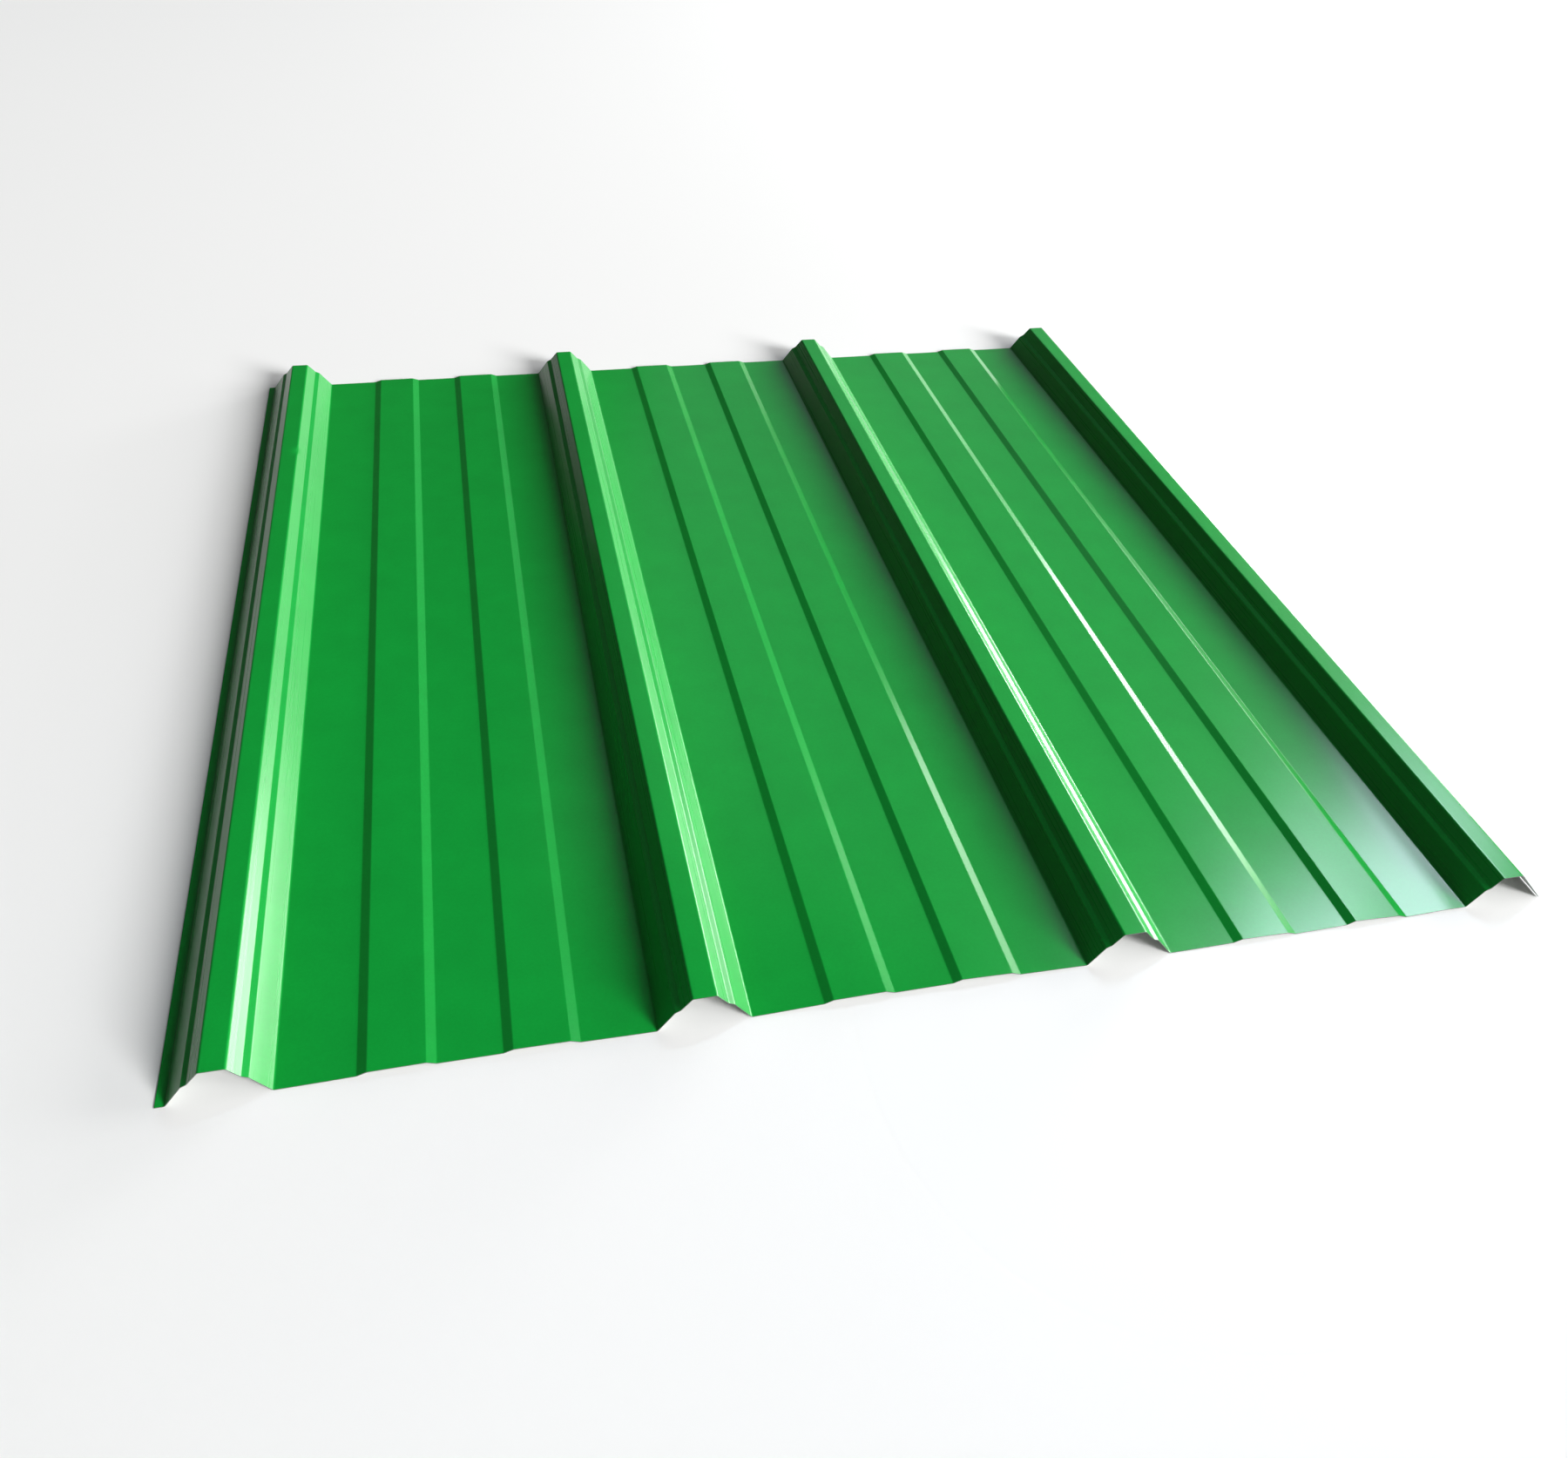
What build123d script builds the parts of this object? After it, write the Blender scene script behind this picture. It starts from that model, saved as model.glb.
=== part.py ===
from build123d import *
import math
import os

# A roofing sheet roll-formed from one strip of pre-painted steel, in millimetres.
# X runs across the ribs, Y along them and Z up, with the pans lying on Z = 0.
# The overlapping side edge is on -X and the underlapping one on +X.

# Strip
steel_thickness = 0.5
inside_bend_radius = 2.0
sheet_length = 1000.0

# Main ribs, each with a stiffening step part-way up its flanks
rib_count = 4
rib_pitch = 300.0
crest_width = 16.0
upper_flank_run = 7.6
upper_flank_rise = 8.8
flank_step_run = 4.0
flank_step_rise = 2.0
lower_flank_run = 11.6
lower_flank_rise = 15.2

# Low flat-topped swages that stiffen each pan between two ribs
swages_per_pan = 2
swage_pitch = 90.0
swage_top_width = 36.0
swage_flank_run = 6.4
swage_height = 2.4

# Side edges
lap_lip_width = 6.0

# Worked out from the sizes above
half_crest = crest_width / 2
half_step = half_crest + upper_flank_run
half_rib = half_step + flank_step_run + lower_flank_run
rib_height = lower_flank_rise + flank_step_rise + upper_flank_rise
half_swage_top = swage_top_width / 2
half_swage = half_swage_top + swage_flank_run
bend_radius = inside_bend_radius + steel_thickness / 2

# Half of a rib and half of a swage, from the foot up: distance from the middle, and height
stepped_flank = [
    (half_rib, 0),
    (half_step + flank_step_run, lower_flank_rise),
    (half_step, lower_flank_rise + flank_step_rise),
    (half_crest, rib_height),
]
plain_flank = [(half_rib, 0), (half_crest, rib_height)]
swage_flank = [(half_swage, 0), (half_swage_top, swage_height)]


def rising(middle, flank):
    """Corners of a flank on the -X side of a rib or swage, from its foot to its top."""
    return [(middle - distance, height) for distance, height in flank]


def falling(middle, flank):
    """Corners of a flank on the +X side of a rib or swage, from its top to its foot."""
    return [(middle + distance, height) for distance, height in reversed(flank)]


# Middle line of the strip, from the overlapping edge to the underlapping one.
# It is counted from the first rib's middle, and from the level of the pans.
strip_corners = [(-half_rib - lap_lip_width, 0)]
for rib in range(rib_count):
    rib_middle = rib * rib_pitch
    strip_corners += rising(rib_middle, stepped_flank)
    if rib == rib_count - 1:
        strip_corners += falling(rib_middle, plain_flank)
        break
    strip_corners += falling(rib_middle, stepped_flank)
    for swage in range(swages_per_pan):
        from_pan_middle = (swage - (swages_per_pan - 1) / 2) * swage_pitch
        swage_middle = rib_middle + rib_pitch / 2 + from_pan_middle
        strip_corners += rising(swage_middle, swage_flank)
        strip_corners += falling(swage_middle, swage_flank)

# The sheet's middle, halfway between its two side edges
plain_flank_length = math.hypot(half_rib - half_crest, rib_height)
underlap_edge_overhang = steel_thickness / 2 * rib_height / plain_flank_length
overlap_edge = strip_corners[0][0]
underlap_edge = strip_corners[-1][0] + underlap_edge_overhang
sheet_middle = (overlap_edge + underlap_edge) / 2

# Rolled section, given its thickness about the middle line and drawn out to the cut length
with BuildPart() as profiled_sheet:
    with BuildSketch(Plane.XZ) as section:
        with BuildLine() as strip:
            FilletPolyline(
                [(x - sheet_middle, z + steel_thickness / 2) for x, z in strip_corners],
                radius=bend_radius,
            )
        trace(strip.line, line_width=steel_thickness)
    extrude(amount=sheet_length / 2, both=True)

profiled_sheet.part.label = "profiled_sheet"

os.makedirs("parts", exist_ok=True)
export_step(profiled_sheet.part, "parts/profiled_sheet.step")

developed_width = sum(edge.length for edge in strip.edges())
sheet_box = profiled_sheet.part.bounding_box()
print(f"strip width before rolling {developed_width:.1f} mm, volume {profiled_sheet.part.volume:.0f} mm3")
print(f"X {sheet_box.min.X:.3f} to {sheet_box.max.X:.3f}, Z {sheet_box.min.Z:.3f} to {sheet_box.max.Z:.3f}")
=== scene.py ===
"""A ribbed roofing sheet of pre-painted steel, rolled from one strip and laid on a studio floor.

The script runs by itself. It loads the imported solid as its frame, rolls the same section as a fine
mesh with the paint, the backcoat and the sheared edges of the real strip, and sets up the stage.
"""

import math

import bpy
import numpy as np
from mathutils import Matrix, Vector


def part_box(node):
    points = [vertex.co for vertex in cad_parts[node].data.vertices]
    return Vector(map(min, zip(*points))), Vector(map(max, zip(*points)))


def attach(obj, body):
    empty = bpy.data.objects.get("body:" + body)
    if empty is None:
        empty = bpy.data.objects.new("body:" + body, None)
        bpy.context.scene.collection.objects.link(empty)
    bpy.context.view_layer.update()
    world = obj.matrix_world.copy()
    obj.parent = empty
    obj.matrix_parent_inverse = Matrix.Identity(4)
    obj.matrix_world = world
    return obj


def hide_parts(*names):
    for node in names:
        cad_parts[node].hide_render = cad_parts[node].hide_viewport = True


bl_info = {
    "name": "Ribbed Roofing Sheet",
    "version": (1, 0, 0),
    "blender": (4, 5, 0),
    "location": "View3D > Sidebar > Roofing Sheet",
    "description": "Rolls a green pre-painted steel roofing sheet and lights it on a pale floor",
    "category": "Object",
}

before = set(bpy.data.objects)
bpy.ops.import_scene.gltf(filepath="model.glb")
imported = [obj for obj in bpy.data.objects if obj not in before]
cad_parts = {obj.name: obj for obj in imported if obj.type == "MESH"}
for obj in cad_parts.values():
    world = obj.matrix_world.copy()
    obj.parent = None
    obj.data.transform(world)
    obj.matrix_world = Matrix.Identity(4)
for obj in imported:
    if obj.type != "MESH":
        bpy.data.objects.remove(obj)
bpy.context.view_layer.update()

SHEET_NODE = "profiled_sheet"
MM = 0.001
PHOTO_WIDTH = 1800
PHOTO_HEIGHT = 1674
WHITE = (1.0, 1.0, 1.0)

sheet_low, sheet_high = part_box(SHEET_NODE)


def linear(hex_colour):
    """Turns an sRGB hex colour into the linear numbers that Blender's shaders work in."""
    steps = [int(hex_colour[i : i + 2], 16) / 255 for i in (1, 3, 5)]
    return tuple(s / 12.92 if s <= 0.04045 else ((s + 0.055) / 1.055) ** 2.4 for s in steps)


def length_property(name, description, millimetres):
    """One size of the sheet, shown in the user's own length unit."""
    return bpy.props.FloatProperty(
        name=name,
        description=description,
        default=millimetres * MM,
        min=0,
        unit="LENGTH",
        subtype="DISTANCE",
    )


def colour_property(name, description, hex_colour):
    """One colour of a finish."""
    return bpy.props.FloatVectorProperty(
        name=name,
        description=description,
        default=linear(hex_colour),
        size=3,
        min=0,
        max=1,
        subtype="COLOR",
    )


class RoofingSheetSizes(bpy.types.PropertyGroup):
    """Sizes of the sheet. The last three are for its look only, and the solid has none of them."""

    steel_thickness: length_property("Thickness", "Thickness of the steel strip", 0.5)
    inside_bend_radius: length_property("Bend Radius", "Radius inside each bend", 2.0)
    sheet_length: length_property(
        "Length", "Cut length of the sheet along its ribs", (sheet_high.y - sheet_low.y) / MM
    )
    rib_count: bpy.props.IntProperty(
        name="Ribs", description="How many main ribs the sheet has", default=4, min=2, max=8
    )
    rib_pitch: length_property("Rib Pitch", "Distance from rib to rib", 300.0)
    crest_width: length_property("Crest Width", "Width of a rib's flat top", 16.0)
    upper_flank_run: length_property("Upper Flank Run", "Width of the flank above its step", 7.6)
    upper_flank_rise: length_property("Upper Flank Rise", "Height of the flank above its step", 8.8)
    flank_step_run: length_property("Flank Step Run", "Width of the step in a rib's flank", 4.0)
    flank_step_rise: length_property("Flank Step Rise", "Height of the step in a rib's flank", 2.0)
    lower_flank_run: length_property("Lower Flank Run", "Width of the flank below its step", 11.6)
    lower_flank_rise: length_property(
        "Lower Flank Rise", "Height of the flank below its step", 15.2
    )
    swage_pitch: length_property("Swage Pitch", "Distance between the two swages of a pan", 90.0)
    swage_top_width: length_property("Swage Width", "Width of a swage's flat top", 36.0)
    swage_flank_run: length_property("Swage Flank Run", "Width of a swage's sloping side", 6.4)
    swage_height: length_property("Swage Height", "Height of a swage above the pan", 2.4)
    lap_lip_width: length_property(
        "Lip Width", "Width of the level lip on the overlapping edge", 6.0
    )
    flat_dish: length_property(
        "Flat Dish", "How far the pans' flats sag between their bends", 0.12
    )
    pan_bow: length_property("Pan Bow", "How far the second pan springs up at the near end", 2.6)
    swage_lean: length_property(
        "Swage Lean", "How far the third pan's middle flat rises to the right at the near end", 1.1
    )


class RoofingSheetFinish(bpy.types.PropertyGroup):
    """Colours and gloss of the sheet's finishes."""

    paint_colour: colour_property(
        "Paint", "Green polyester coil coating on the weather side", "#0A9634"
    )
    paint_roughness: bpy.props.FloatProperty(
        name="Paint Roughness",
        description="How far the paint spreads its reflections",
        default=0.21,
        min=0,
        max=1,
        subtype="FACTOR",
    )
    backcoat_colour: colour_property("Backcoat", "Thin grey coat on the underside", "#A9ADA8")
    cut_edge_colour: colour_property(
        "Cut Edge", "Bare zinc and steel round the sheet's edges", "#8E9490"
    )


class RoofingSheetStage(bpy.types.PropertyGroup):
    """The floor and how strongly each lamp lights it."""

    floor_colour: colour_property("Floor", "Pale painted floor", "#F6F6F5")
    window_colour: colour_property(
        "Cool Light", "Colour of the corner softbox and of the back wall", "#DFF1FF"
    )
    side_strength: bpy.props.FloatProperty(
        name="Side Light",
        description="Strength of the broad low light from the front right",
        default=5.35,
        min=0,
    )
    high_strength: bpy.props.FloatProperty(
        name="High Light",
        description="Strength of the broad light from higher on the right",
        default=0.65,
        min=0,
    )
    softbox_level: bpy.props.FloatProperty(
        name="Softboxes",
        description="Level of all the softboxes and lit walls, which the glossy paint mirrors",
        default=1.0,
        min=0,
    )
    world_strength: bpy.props.FloatProperty(
        name="Room Light",
        description="Strength of the even light from all round",
        default=0.055,
        min=0,
    )


# The section, as a line through the middle of the steel. Its points are at most one step apart
# round a bend and along a flat, and a closer one beside each bend keeps the flat's shading level.

BEND_STEP_ANGLE = math.radians(9)
FLAT_STEP = 6.5 * MM
BEND_SUPPORT = 0.45 * MM


def rib_half_widths(sizes):
    """Half of a rib's width at its crest, above its step, below its step and at its foot."""
    half_crest = sizes.crest_width / 2
    half_step = half_crest + sizes.upper_flank_run
    half_lower = half_step + sizes.flank_step_run
    return half_crest, half_step, half_lower, half_lower + sizes.lower_flank_run


def swage_half_widths(sizes):
    """Half of a swage's width at its top and at its foot."""
    half_top = sizes.swage_top_width / 2
    return half_top, half_top + sizes.swage_flank_run


def section_corners(sizes):
    """Corners of the section's middle line: distance across the sheet, height, and whether the
    flat that follows belongs to a pan."""
    half_crest, half_step, half_lower, half_rib = rib_half_widths(sizes)
    half_swage_top, half_swage = swage_half_widths(sizes)
    step_height = sizes.lower_flank_rise + sizes.flank_step_rise
    rib_height = step_height + sizes.upper_flank_rise
    foot = sizes.flat_dish

    flank = [
        (half_rib, foot),
        (half_lower, sizes.lower_flank_rise),
        (half_step, step_height),
        (half_crest, rib_height),
    ]
    plain_flank = [flank[0], flank[-1]]
    swage_side = [(half_swage, foot), (half_swage_top, sizes.swage_height)]

    corners = [(-half_rib - sizes.lap_lip_width, foot, False)]

    def add_raised_form(middle, left_side, right_side, pan_follows):
        """Adds a rib or a swage from left to right. Each side is given from its foot up."""
        for distance, height in left_side:
            corners.append((middle - distance, height, False))
        for distance, height in reversed(right_side[1:]):
            corners.append((middle + distance, height, False))
        corners.append((middle + right_side[0][0], right_side[0][1], pan_follows))

    for rib in range(sizes.rib_count):
        rib_middle = rib * sizes.rib_pitch
        last = rib == sizes.rib_count - 1
        add_raised_form(rib_middle, flank, plain_flank if last else flank, not last)
        if last:
            break
        for side in (-1, 1):
            swage_middle = rib_middle + sizes.rib_pitch / 2 + side * sizes.swage_pitch / 2
            add_raised_form(swage_middle, swage_side, swage_side, True)
    return corners


def section_line(sizes):
    """Points along the section's middle line, with each point's normal and its place on its flat.

    The place runs from -1 to 1 across a flat and is 1 all round a bend. The amount is how far the
    flat's middle lies above its ends: it is below zero in a pan, and zero elsewhere."""
    corners = section_corners(sizes)
    spots = [Vector((x, z)) for x, z, _ in corners]
    radius = sizes.inside_bend_radius + sizes.steel_thickness / 2

    points, normals, places, amounts = [], [], [], []

    def put(spot, normal, place, amount):
        points.append(tuple(spot))
        normals.append(tuple(normal))
        places.append(place)
        amounts.append(amount)

    start = spots[0]
    for index in range(1, len(spots)):
        corner = spots[index]
        along = (corner - spots[index - 1]).normalized()
        normal = Vector((-along.y, along.x))
        last = index == len(spots) - 1
        if last:
            end = corner
        else:
            leaving = (spots[index + 1] - corner).normalized()
            turn = math.atan2(along.x * leaving.y - along.y * leaving.x, along.dot(leaving))
            trim = radius * math.tan(abs(turn) / 2)
            end = corner - along * trim

        flat_length = (end - start).length
        in_pan = corners[index - 1][2]
        amount = -sizes.flat_dish if in_pan else 0.0
        inner = flat_length - 2 * BEND_SUPPORT
        pieces = max(1, math.ceil(inner / FLAT_STEP))
        distances = [0.0]
        distances += [BEND_SUPPORT + inner * i / pieces for i in range(pieces + 1)]
        distances.append(flat_length)
        for distance in distances:
            put(start + along * distance, normal, 2 * distance / flat_length - 1, amount)

        if last:
            break
        bend_steps = max(2, math.ceil(abs(turn) / BEND_STEP_ANGLE))
        centre = end + normal * math.copysign(radius, turn)
        for step in range(1, bend_steps):
            angle = turn * step / bend_steps
            turned = Vector(
                (
                    normal.x * math.cos(angle) - normal.y * math.sin(angle),
                    normal.x * math.sin(angle) + normal.y * math.cos(angle),
                )
            )
            put(centre - turned * math.copysign(radius, turn), turned, 1.0, 0.0)
        start = corner + leaving * trim

    return np.array(points), np.array(normals), np.array(places), np.array(amounts)


# Signs of handling, from the photograph. The bow and the lean have one share for each pan, from
# the left, and further pans take the last share. Both fade out over the reach from the near end.
# The bow is a parabola to this power, which makes it a little narrower.

BOW_SHARES = (0.6, 1.0, 0.0)
BOW_POWER = 1.2
LEAN_SHARES = (0.0, 0.3, 1.0)
SPRING_REACH = 0.42

# Heights of a leaning pan, as shares of the lean: at its left foot, at the four corners of each
# swage, at a soft crease in its right flat, at its right foot and at the next crest. The crease
# is this share of the flat's width away from the foot.
LEAN_HEIGHTS = (0, 0.5, 0.5, 0, 0, 1, 1.5, 0, 0, 1.25, 0.9, 0)
CREASE_SHARE = 0.3


def pan_spring(sizes, x, y):
    """How far each pan has sprung up at its near end, as storing and lifting may leave it.

    The first two pans bow up between their ribs. The third leans instead, and the second leans a
    little as well: the flats rise to the right, and the swages' tops fall to the right."""
    half_crest, _, _, half_rib = rib_half_widths(sizes)
    half_top, half_swage = swage_half_widths(sizes)
    half_pan = sizes.rib_pitch / 2
    foot = half_pan - half_rib
    half_pitch = sizes.swage_pitch / 2
    crease = foot - CREASE_SHARE * (foot - half_pitch - half_swage)
    turns = [-foot]
    for middle in (-half_pitch, half_pitch):
        turns += [middle - half_swage, middle - half_top, middle + half_top, middle + half_swage]
    turns += [crease, foot, half_pan - half_crest]
    fade = np.clip((y + sizes.sheet_length / 2) / SPRING_REACH, 0, 1)
    fade = (1 - fade) ** 2 * (1 + 2 * fade)
    lift = np.zeros(np.broadcast(x, y).shape)
    for pan in range(sizes.rib_count - 1):
        share = min(pan, len(BOW_SHARES) - 1)
        place = x - (pan * sizes.rib_pitch + half_pan)
        inside = np.clip(1 - (place / foot) ** 2, 0, 1)
        lift = lift + sizes.pan_bow * BOW_SHARES[share] * inside**BOW_POWER * fade
        lean = np.interp(place, turns, LEAN_HEIGHTS, left=0, right=0)
        lift = lift + sizes.swage_lean * LEAN_SHARES[share] * lean * fade
    return lift


# The dent on the first rib, from the photograph

DENT_PLACE = Vector((-0.4395, 0.291, 0.0262))
DENT_LENGTH = 7.0 * MM
DENT_WIDTH = 1.6 * MM
DENT_DEPTH = 0.7 * MM

# Rows of the mesh from end to end. The close ones lie over the dent, and no even one is nearer to
# it than the clearance. Reach and clearance are in lengths of the dent.

EVEN_ROWS = 61
CLOSE_ROWS = 13
CLOSE_ROW_REACH = 1.8
EVEN_ROW_CLEARANCE = 2.2

# Slow waves along the flats: how many, the range of their lengths in metres, how far they turn
# across the sheet in radians a metre, and the largest share of the sag that they take away.

WAVE_SEED = 11
WAVE_COUNT = 5
WAVE_LENGTHS = (0.18, 0.55)
WAVE_DRIFT = 6
WAVE_SHARE = 0.45

# Places of the finishes in the mesh's list of materials

PAINT, BACKCOAT, CUT_EDGE = range(3)


def row_places(sizes):
    """Distances along the ribs at which the section is repeated, closer together at the dent."""
    half = sizes.sheet_length / 2
    even = np.linspace(-half, half, EVEN_ROWS)
    close = DENT_PLACE.y + np.linspace(-1, 1, CLOSE_ROWS) * DENT_LENGTH * CLOSE_ROW_REACH
    close = close[np.abs(close) < half]
    clearance = DENT_LENGTH * EVEN_ROW_CLEARANCE
    kept = [y for y in even if close.size == 0 or abs(y - DENT_PLACE.y) > clearance]
    return np.array(sorted(kept + list(close)))


def handling_waves(rows, x):
    """Slow waves along the flats, from 0 to 1, at each row and each place across the sheet."""
    wander = np.random.default_rng(WAVE_SEED)
    waves = np.zeros((len(rows), len(x)))
    for _ in range(WAVE_COUNT):
        wave_length = wander.uniform(*WAVE_LENGTHS)
        phase_drift = wander.uniform(-WAVE_DRIFT, WAVE_DRIFT)
        phase = wander.uniform(0, 2 * math.pi)
        turn = 2 * math.pi * rows[:, None] / wave_length
        waves += np.sin(turn + phase_drift * x[None, :] + phase)
    return 0.5 + 0.5 * waves / np.abs(waves).max()


def skin_faces(row_count, column_count):
    """Faces of the closed skin, each group with the finish it has.

    The corners of the weather side are numbered row by row from the near end, and those of the
    underside follow in the same order."""
    below = row_count * column_count
    grid = np.arange(below).reshape(row_count, column_count)
    quads = [grid[:-1, :-1], grid[:-1, 1:], grid[1:, 1:], grid[1:, :-1]]
    top_faces = np.stack(quads, axis=2).reshape(-1, 4)

    def side_faces(line):
        """Faces from a border line of the weather side down to the underside."""
        return np.stack([line[:-1], line[1:], line[1:] + below, line[:-1] + below], axis=1)

    near_end, far_end = side_faces(grid[0])[:, ::-1], side_faces(grid[-1])
    left_edge, right_edge = side_faces(grid[:, 0]), side_faces(grid[:, -1])[:, ::-1]
    return [
        (top_faces, PAINT),
        (top_faces[:, ::-1] + below, BACKCOAT),
        (near_end, CUT_EDGE),
        (far_end, CUT_EDGE),
        (left_edge, CUT_EDGE),
        (right_edge, CUT_EDGE),
    ]


def build_sheet_mesh(sizes):
    """One closed skin of the sheet: weather side, underside, sheared ends and side edges."""
    line, normals, places, amounts = section_line(sizes)
    rows = row_places(sizes)
    thickness = sizes.steel_thickness

    # The outline's middle is the solid's middle, and the right edge's face leans out a little.
    faces_x = [line[:, 0] + side * normals[:, 0] * thickness / 2 for side in (-1, 1)]
    outline_middle = (np.min(faces_x) + np.max(faces_x)) / 2
    x = line[:, 0] - outline_middle + (sheet_low.x + sheet_high.x) / 2
    z = line[:, 1] + thickness / 2

    # The waves make the pans' flats sag by more or less, but never below the floor.
    sag_share = 1 - WAVE_SHARE + WAVE_SHARE * handling_waves(rows, x)
    bulges = amounts[None, :] * (1 - places[None, :] ** 2) * sag_share

    middle = np.zeros((len(rows), len(x), 3))
    middle[..., 0] = x
    middle[..., 1] = rows[:, None]
    middle[..., 2] = z[None, :] + bulges + pan_spring(sizes, line[None, :, 0], rows[:, None])
    normal = np.zeros(middle.shape)
    normal[..., 0] = normals[:, 0]
    normal[..., 2] = normals[:, 1]

    # The dent pushes the crest's bend inwards over a few millimetres.
    across = (middle[..., 0] - DENT_PLACE.x) ** 2 + (middle[..., 2] - DENT_PLACE.z) ** 2
    along = ((middle[..., 1] - DENT_PLACE.y) / DENT_LENGTH) ** 2
    push = DENT_DEPTH * np.exp(-(across / DENT_WIDTH**2 + along))
    middle = middle - normal * push[..., None]

    half_wall = normal * thickness / 2
    sides = [middle + half_wall, middle - half_wall]
    vertices = np.concatenate([side.reshape(-1, 3) for side in sides])
    groups = skin_faces(len(rows), len(x))
    faces = np.concatenate([group for group, _ in groups])
    finish = np.concatenate([np.full(len(group), kind) for group, kind in groups])

    mesh = bpy.data.meshes.new("rolled_sheet")
    mesh.from_pydata(vertices.tolist(), [], faces.tolist())
    mesh.validate()
    mesh.polygons.foreach_set("material_index", finish.astype(np.int32))
    mesh.polygons.foreach_set("use_smooth", (finish != CUT_EDGE).tolist())
    mesh.update()
    return mesh


def mark_cut_edges(mesh):
    """Keeps the corners round the sheared ends and the side edges crisp."""
    finish = {}
    for polygon in mesh.polygons:
        for key in polygon.edge_keys:
            finish.setdefault(key, set()).add(polygon.material_index)
    for edge in mesh.edges:
        if len(finish.get(edge.key, ())) > 1:
            edge.use_edge_sharp = True


# Finishes


def add_node(tree, kind, inputs=None, **settings):
    """Adds a node, gives it its settings, and sets or links its inputs."""
    node = tree.nodes.new(kind)
    for name, value in settings.items():
        setattr(node, name, value)
    for socket, value in (inputs or {}).items():
        if isinstance(value, bpy.types.NodeSocket):
            tree.links.new(value, node.inputs[socket])
        else:
            node.inputs[socket].default_value = value
    return node


def new_material(name):
    """An empty node material and its node tree."""
    material = bpy.data.materials.new(name)
    material.use_nodes = True
    material.node_tree.nodes.clear()
    return material, material.node_tree


def shade(colour, factor):
    """The same colour a little darker or lighter, as four numbers."""
    return tuple(min(1.0, part * factor) for part in colour) + (1.0,)


def noise(tree, place, size, detail):
    """Noise from 0 to 1 whose swells are about the given size across."""
    inputs = {"Vector": place, "Scale": 1 / size, "Detail": detail}
    return add_node(tree, "ShaderNodeTexNoise", inputs).outputs["Fac"]


def mapped(tree, value, from_range, to_range):
    """The value, moved from one range to the other and held inside it."""
    inputs = {
        "Value": value,
        "From Min": from_range[0],
        "From Max": from_range[1],
        "To Min": to_range[0],
        "To Max": to_range[1],
    }
    return add_node(tree, "ShaderNodeMapRange", inputs).outputs["Result"]


def tones(tree, value, colour, factors, value_range=(0.0, 1.0)):
    """A colour between two shades of itself, as the value goes through its range."""
    ramp = add_node(tree, "ShaderNodeValToRGB", {"Fac": value})
    elements = ramp.color_ramp.elements
    for element, position, factor in zip(elements, value_range, factors, strict=True):
        element.position = position
        element.color = shade(colour, factor)
    return ramp.outputs["Color"]


# The paint is on a rib's flank where the height of the surface's normal is below the first of
# these, and on a flat where it is above the second. Its gloss changes between the two.

FLANK_NORMAL = 0.75
FLAT_NORMAL = 0.95


def polyester_coil_coating(finish):
    """Green polyester paint, rolled on the strip in a coil line and stoved.

    It gives the eye a deep even green under a smooth gloss, with a fine orange peel, a faint
    mottle in the pigment and long dull streaks where the forming rolls pressed."""
    material, tree = new_material("green_polyester_coil_coating")
    place = add_node(tree, "ShaderNodeTexCoord").outputs["Object"]

    # Pigment: clouds 40 mm across and a grain of 2 mm, drawn coarser than the real one to show.
    clouds = noise(tree, place, 40 * MM, 2.0)
    grain = noise(tree, place, 2.0 * MM, 3.0)
    mottle = add_node(
        tree, "ShaderNodeMix", {"Factor": 0.45, "A": clouds, "B": grain}, data_type="FLOAT"
    )
    green = tones(tree, mottle.outputs["Result"], finish.paint_colour, (0.93, 1.07), (0.3, 0.7))

    # Roll marks: streaks about 1.5 mm wide that run the length of the sheet and dull its flanks.
    width, length = 1.5 * MM, 400 * MM
    stretched = add_node(
        tree, "ShaderNodeMapping", {"Vector": place, "Scale": (1 / width, 1 / length, 1 / width)}
    )
    streaks = noise(tree, stretched.outputs["Vector"], 1.0, 3.0)
    facing = add_node(tree, "ShaderNodeNewGeometry")
    slope = add_node(tree, "ShaderNodeSeparateXYZ", {"Vector": facing.outputs["Normal"]})
    on_flank = mapped(tree, slope.outputs["Z"], (FLAT_NORMAL, FLANK_NORMAL), (0.0, 1.0))
    dulling = mapped(tree, streaks, (0.3, 0.7), (0.05, 0.11))
    roughness = add_node(
        tree,
        "ShaderNodeMath",
        {0: dulling, 1: on_flank, 2: finish.paint_roughness},
        operation="MULTIPLY_ADD",
    )

    # Orange peel: swells about 1.6 mm across and a few micrometres high, and nearly none on the
    # flanks, as if the forming rolls had pressed them level.
    peel = noise(tree, place, 1.6 * MM, 1.5)
    peel_strength = mapped(tree, slope.outputs["Z"], (FLANK_NORMAL, FLAT_NORMAL), (0.02, 0.35))
    skin = add_node(
        tree,
        "ShaderNodeBump",
        {"Strength": peel_strength, "Distance": 0.03 * MM, "Height": peel},
    )
    paint = add_node(
        tree,
        "ShaderNodeBsdfPrincipled",
        {
            "Base Color": green,
            "Roughness": roughness.outputs["Value"],
            "IOR": 1.5,
            "Normal": skin.outputs["Normal"],
        },
    )
    add_node(tree, "ShaderNodeOutputMaterial", {"Surface": paint.outputs["BSDF"]})
    return material


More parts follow.
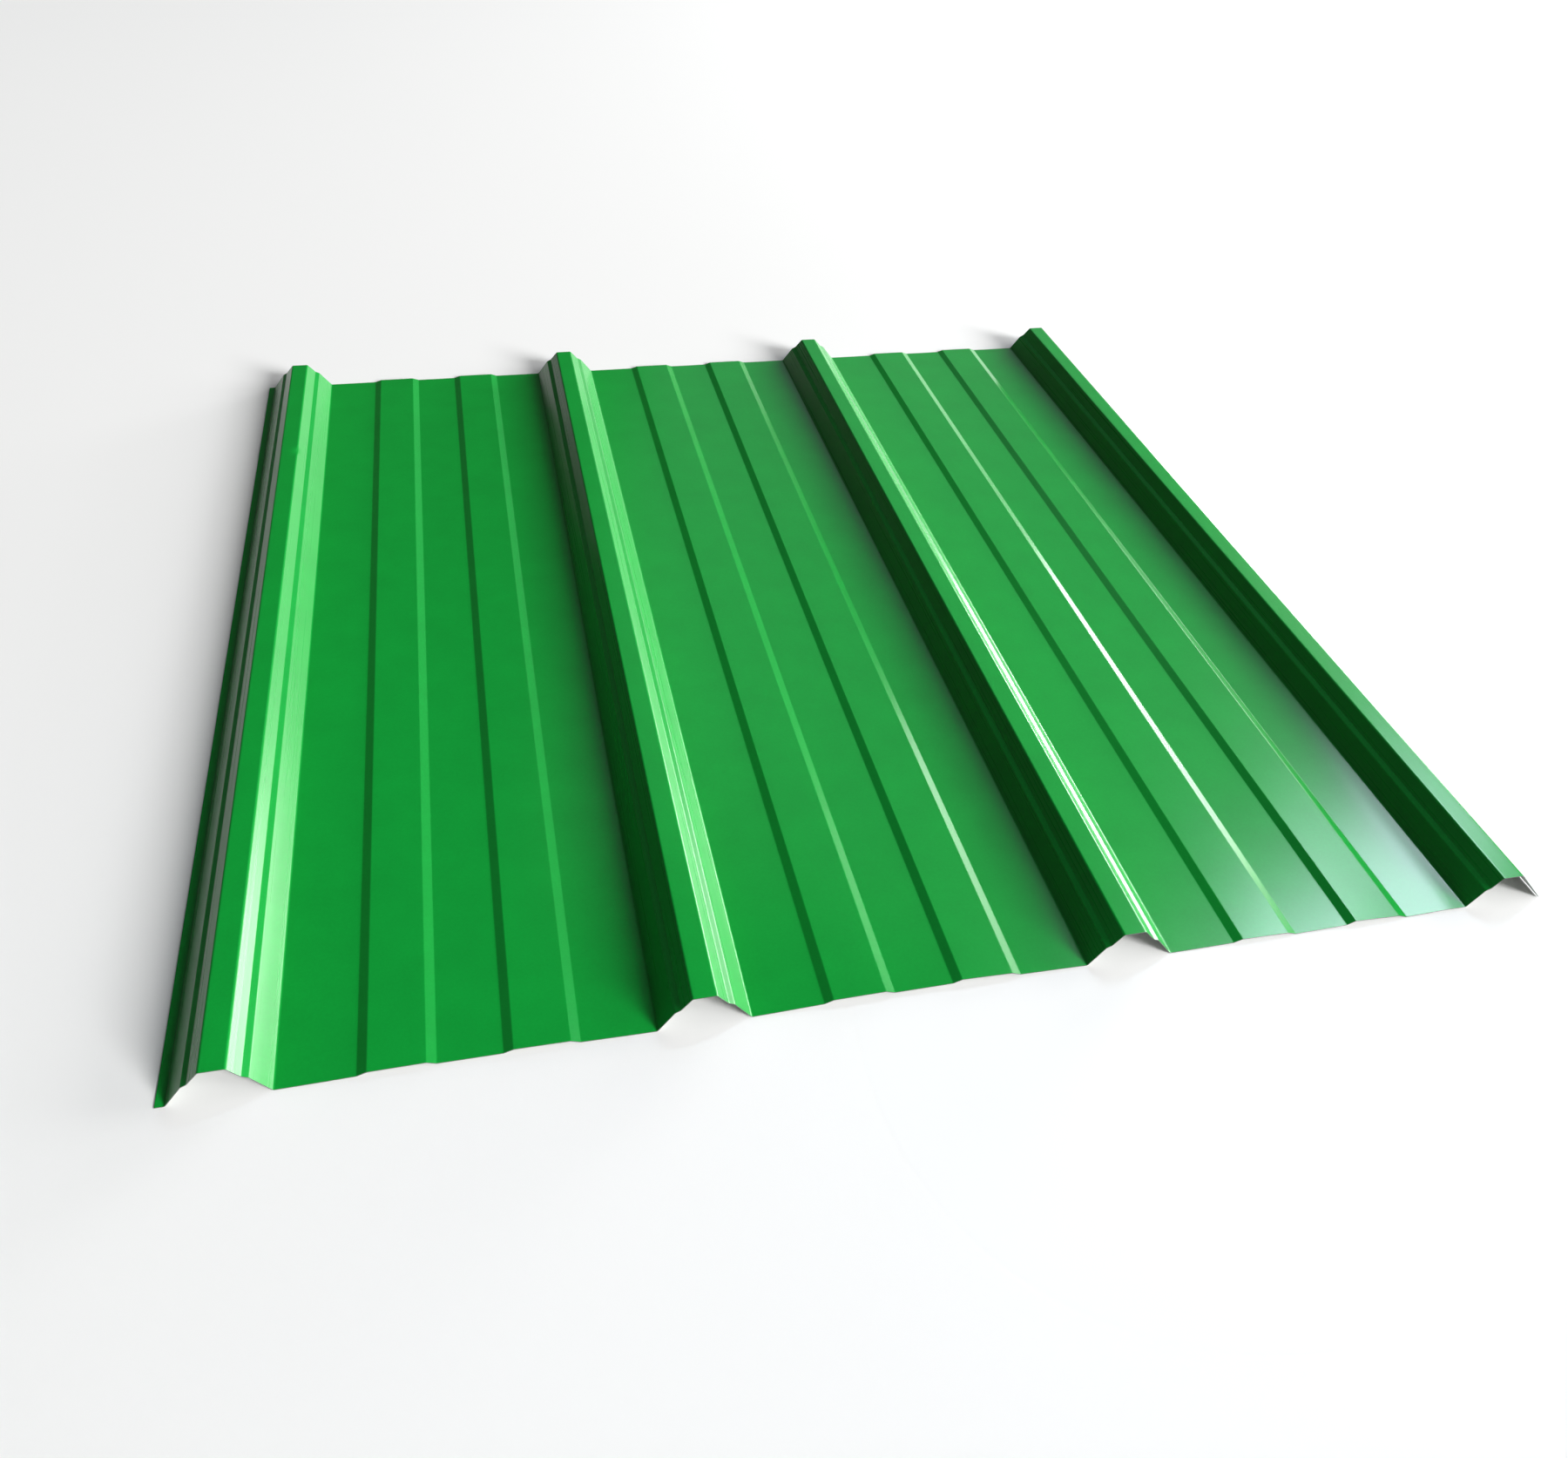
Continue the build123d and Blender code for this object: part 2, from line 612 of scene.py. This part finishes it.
def grey_backcoat(finish):
    """Thin epoxy primer on the underside, only a few micrometres thick.

    It gives a dull pale grey that shows the spangle of the zinc faintly through it."""
    material, tree = new_material("grey_epoxy_backcoat")
    place = add_node(tree, "ShaderNodeTexCoord").outputs["Object"]

    # Zinc spangle: crystals about 4 mm across.
    spangle = add_node(
        tree, "ShaderNodeTexVoronoi", {"Vector": place, "Scale": 1 / (4.0 * MM)}, feature="F1"
    )
    grey = tones(tree, spangle.outputs["Distance"], finish.backcoat_colour, (0.94, 1.04))
    coat = add_node(
        tree, "ShaderNodeBsdfPrincipled", {"Base Color": grey, "Roughness": 0.55, "IOR": 1.5}
    )
    add_node(tree, "ShaderNodeOutputMaterial", {"Surface": coat.outputs["BSDF"]})
    return material


def sheared_steel(finish):
    """Galvanised steel, bare where it was cut through and torn by the shear.

    It gives the thin dark-grey line round the sheet's ends and side edges."""
    material, tree = new_material("sheared_galvanised_steel")
    place = add_node(tree, "ShaderNodeTexCoord").outputs["Object"]

    # Shear marks: tears about 0.4 mm apart.
    tears = noise(tree, place, 0.4 * MM, 2.0)
    steel_colour = tones(tree, tears, finish.cut_edge_colour, (0.7, 1.1))
    steel = add_node(
        tree,
        "ShaderNodeBsdfPrincipled",
        {"Base Color": steel_colour, "Metallic": 1.0, "Roughness": 0.45},
    )
    add_node(tree, "ShaderNodeOutputMaterial", {"Surface": steel.outputs["BSDF"]})
    return material


def painted_floor(stage):
    """Matt emulsion on a level board. It gives a plain pale ground that keeps a soft shadow."""
    material, tree = new_material("matt_floor_paint")
    place = add_node(tree, "ShaderNodeTexCoord").outputs["Object"]

    # Roller stipple about 3 mm across, nearly level.
    stipple = noise(tree, place, 3 * MM, 2.0)
    texture = add_node(
        tree, "ShaderNodeBump", {"Strength": 0.1, "Distance": 0.05 * MM, "Height": stipple}
    )
    paint = add_node(
        tree,
        "ShaderNodeBsdfPrincipled",
        {
            "Base Color": shade(stage.floor_colour, 1.0),
            "Roughness": 0.9,
            "Specular IOR Level": 0.2,
            "Normal": texture.outputs["Normal"],
        },
    )
    add_node(tree, "ShaderNodeOutputMaterial", {"Surface": paint.outputs["BSDF"]})
    return material


# Stage. The camera was solved from the photograph: its place is in metres and its turn in radians,
# and the other two are in the photograph's pixels.

CAMERA_PLACE = Vector((-0.25217, -1.09824, 0.74418))
CAMERA_TURN = (0.93741, -0.04757, -0.22902)
CAMERA_FOCAL_PIXELS = 1626.05
CAMERA_CENTRE_PIXELS = (929.94, 757.55)
SENSOR_WIDTH = 36.0

# The floor is a hair below the sheet, so that the two faces don't coincide.
FLOOR_SIZE = 16.0
FLOOR_DROP = 0.1 * MM

# Each softbox by azimuth and elevation in degrees, distance, width and height in metres, power in
# watts, and whether its light is cool. They stand where the paint's highlights call for them.
SOFTBOXES = {
    # This one makes the right pans a little brighter than the left one.
    "right_softbox": (-5, 17, 3.8, 1.8, 1.2, 75, False),
    # Near the sheet's near end, the low strip shows in the first rib's right flank. The back
    # strip shows in the right sides of the second pan's swages, and the low one in the third's.
    "low_strip_softbox": (37, 4.5, 4.1, 1.6, 0.6, 85, False),
    "back_strip_softbox": (39, 17, 4.4, 1.3, 1.0, 28, False),
    # The flats in the third pan's near corner mirror this one.
    "corner_softbox": (31, 45.5, 3.4, 0.45, 1.15, 1.0, True),
    # Two dim walls lie as a veil over the right-hand flats, and further back over those parts too.
    "low_wall": (56, 6, 5.4, 3.4, 0.9, 19, False),
    "back_wall": (62, 34, 6.0, 4.5, 3.5, 16, True),
}

# A grid narrows the corner softbox's beam to this spot, so that it lights little else.
CORNER_SPOT = Vector((0.36, -0.38, 0))
CORNER_BEAM = math.radians(30)

# The broad lights are suns, for which the distance makes no difference to the light.
BROAD_LIGHT_SPREAD = math.radians(20)
BROAD_LIGHT_DISTANCE = 5.0


def add_camera():
    """The camera, at the photograph's angle and framing."""
    data = bpy.data.cameras.new("photo_camera")
    data.sensor_width = SENSOR_WIDTH
    data.lens = CAMERA_FOCAL_PIXELS / PHOTO_WIDTH * SENSOR_WIDTH
    data.shift_x = (PHOTO_WIDTH / 2 - CAMERA_CENTRE_PIXELS[0]) / PHOTO_WIDTH
    data.shift_y = (CAMERA_CENTRE_PIXELS[1] - PHOTO_HEIGHT / 2) / PHOTO_WIDTH
    data.clip_start = 0.01
    data.clip_end = 50.0
    camera = bpy.data.objects.new("photo_camera", data)
    camera.location = CAMERA_PLACE
    camera.rotation_euler = CAMERA_TURN
    bpy.context.scene.collection.objects.link(camera)
    bpy.context.scene.camera = camera


def place_lamp(name, data, azimuth, elevation, distance):
    """Puts a lamp round the sheet's middle, facing it. Azimuth turns from +X towards +Y."""
    turn = math.radians(azimuth)
    lift = math.radians(elevation)
    way = Vector((math.cos(turn) * math.cos(lift), math.sin(turn) * math.cos(lift), math.sin(lift)))
    lamp = bpy.data.objects.new(name, data)
    lamp.location = way * distance
    lamp.rotation_euler = way.to_track_quat("Z", "Y").to_euler()
    lamp.visible_camera = False
    bpy.context.scene.collection.objects.link(lamp)
    return lamp


def add_softbox(name, azimuth, elevation, distance, width, height, power, colour):
    """A rectangular lamp that faces the sheet's middle."""
    data = bpy.data.lights.new(name, "AREA")
    data.shape = "RECTANGLE"
    data.size = width
    data.size_y = height
    data.energy = power
    data.color = colour
    return place_lamp(name, data, azimuth, elevation, distance)


def add_broad_light(name, azimuth, elevation, strength):
    """Far light, as broad as a large window, that is as strong everywhere on the floor.

    It gives no glare from any side, as if through a polariser."""
    data = bpy.data.lights.new(name, "SUN")
    data.angle = BROAD_LIGHT_SPREAD
    data.energy = strength
    lamp = place_lamp(name, data, azimuth, elevation, BROAD_LIGHT_DISTANCE)
    lamp.visible_glossy = False


def add_room_light(strength):
    """Even neutral light from all round, like pale studio walls."""
    world = bpy.data.worlds.new("studio_walls")
    world.use_nodes = True
    tree = world.node_tree
    tree.nodes.clear()
    walls = add_node(tree, "ShaderNodeBackground", {"Color": (*WHITE, 1.0), "Strength": strength})
    add_node(tree, "ShaderNodeOutputWorld", {"Surface": walls.outputs["Background"]})
    bpy.context.scene.world = world


class ROOFING_OT_roll_sheet(bpy.types.Operator):
    """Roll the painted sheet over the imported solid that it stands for"""

    bl_idname = "roofing.roll_sheet"
    bl_label = "Roll Sheet"

    def execute(self, context):
        sizes = context.scene.roofing_sheet_sizes
        finish = context.scene.roofing_sheet_finish
        mesh = build_sheet_mesh(sizes)
        mark_cut_edges(mesh)
        for make_finish in (polyester_coil_coating, grey_backcoat, sheared_steel):
            mesh.materials.append(make_finish(finish))
        sheet = bpy.data.objects.new("rolled_sheet", mesh)
        context.scene.collection.objects.link(sheet)
        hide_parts(SHEET_NODE)
        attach(sheet, "root")
        return {"FINISHED"}


class ROOFING_OT_set_stage(bpy.types.Operator):
    """Add the pale floor, the lamps, the room light and the camera"""

    bl_idname = "roofing.set_stage"
    bl_label = "Set Stage"

    def execute(self, context):
        stage = context.scene.roofing_sheet_stage
        half = FLOOR_SIZE / 2
        corners = [(-half, -half, 0), (half, -half, 0), (half, half, 0), (-half, half, 0)]
        mesh = bpy.data.meshes.new("floor")
        mesh.from_pydata(corners, [], [(0, 1, 2, 3)])
        mesh.materials.append(painted_floor(stage))
        floor = bpy.data.objects.new("floor", mesh)
        floor.location.z = -FLOOR_DROP
        context.scene.collection.objects.link(floor)

        # Two broad lights colour the sheet and light the floor evenly.
        add_broad_light("side_light", -50, 20, stage.side_strength)
        add_broad_light("high_light", -35, 40, stage.high_strength)

        softboxes = {}
        for name, (*layout, power, cool) in SOFTBOXES.items():
            colour = stage.window_colour if cool else WHITE
            softboxes[name] = add_softbox(name, *layout, power * stage.softbox_level, colour)
        corner = softboxes["corner_softbox"]
        corner.data.spread = CORNER_BEAM
        to_lamp = corner.location - CORNER_SPOT
        corner.rotation_euler = to_lamp.to_track_quat("Z", "Y").to_euler()
        add_room_light(stage.world_strength)
        add_camera()
        context.scene.view_settings.view_transform = "Standard"
        return {"FINISHED"}


class ROOFING_PT_sidebar(bpy.types.Panel):
    """Lists the steps that make the sheet and its stage"""

    bl_idname = "ROOFING_PT_sidebar"
    bl_label = "Roofing Sheet"
    bl_space_type = "VIEW_3D"
    bl_region_type = "UI"
    bl_category = "Roofing Sheet"

    def draw(self, context):
        layout = self.layout
        layout.operator(ROOFING_OT_roll_sheet.bl_idname)
        layout.operator(ROOFING_OT_set_stage.bl_idname)
        for group in ("roofing_sheet_sizes", "roofing_sheet_finish", "roofing_sheet_stage"):
            settings = getattr(context.scene, group)
            box = layout.box()
            for name in settings.__annotations__:
                box.prop(settings, name)


PROPERTY_GROUPS = {
    "roofing_sheet_sizes": RoofingSheetSizes,
    "roofing_sheet_finish": RoofingSheetFinish,
    "roofing_sheet_stage": RoofingSheetStage,
}
CLASSES = (
    *PROPERTY_GROUPS.values(),
    ROOFING_OT_roll_sheet,
    ROOFING_OT_set_stage,
    ROOFING_PT_sidebar,
)


def register():
    """Adds the classes, and gives each scene their settings."""
    for one_class in CLASSES:
        bpy.utils.register_class(one_class)
    for name, group in PROPERTY_GROUPS.items():
        setattr(bpy.types.Scene, name, bpy.props.PointerProperty(type=group))


def unregister():
    """Takes the settings and the classes away again."""
    for name in PROPERTY_GROUPS:
        delattr(bpy.types.Scene, name)
    for one_class in reversed(CLASSES):
        bpy.utils.unregister_class(one_class)


def main():
    """Makes the sheet and its stage."""
    register()
    bpy.ops.roofing.roll_sheet()
    bpy.ops.roofing.set_stage()
    bpy.context.view_layer.update()


if __name__ == "__main__":
    main()
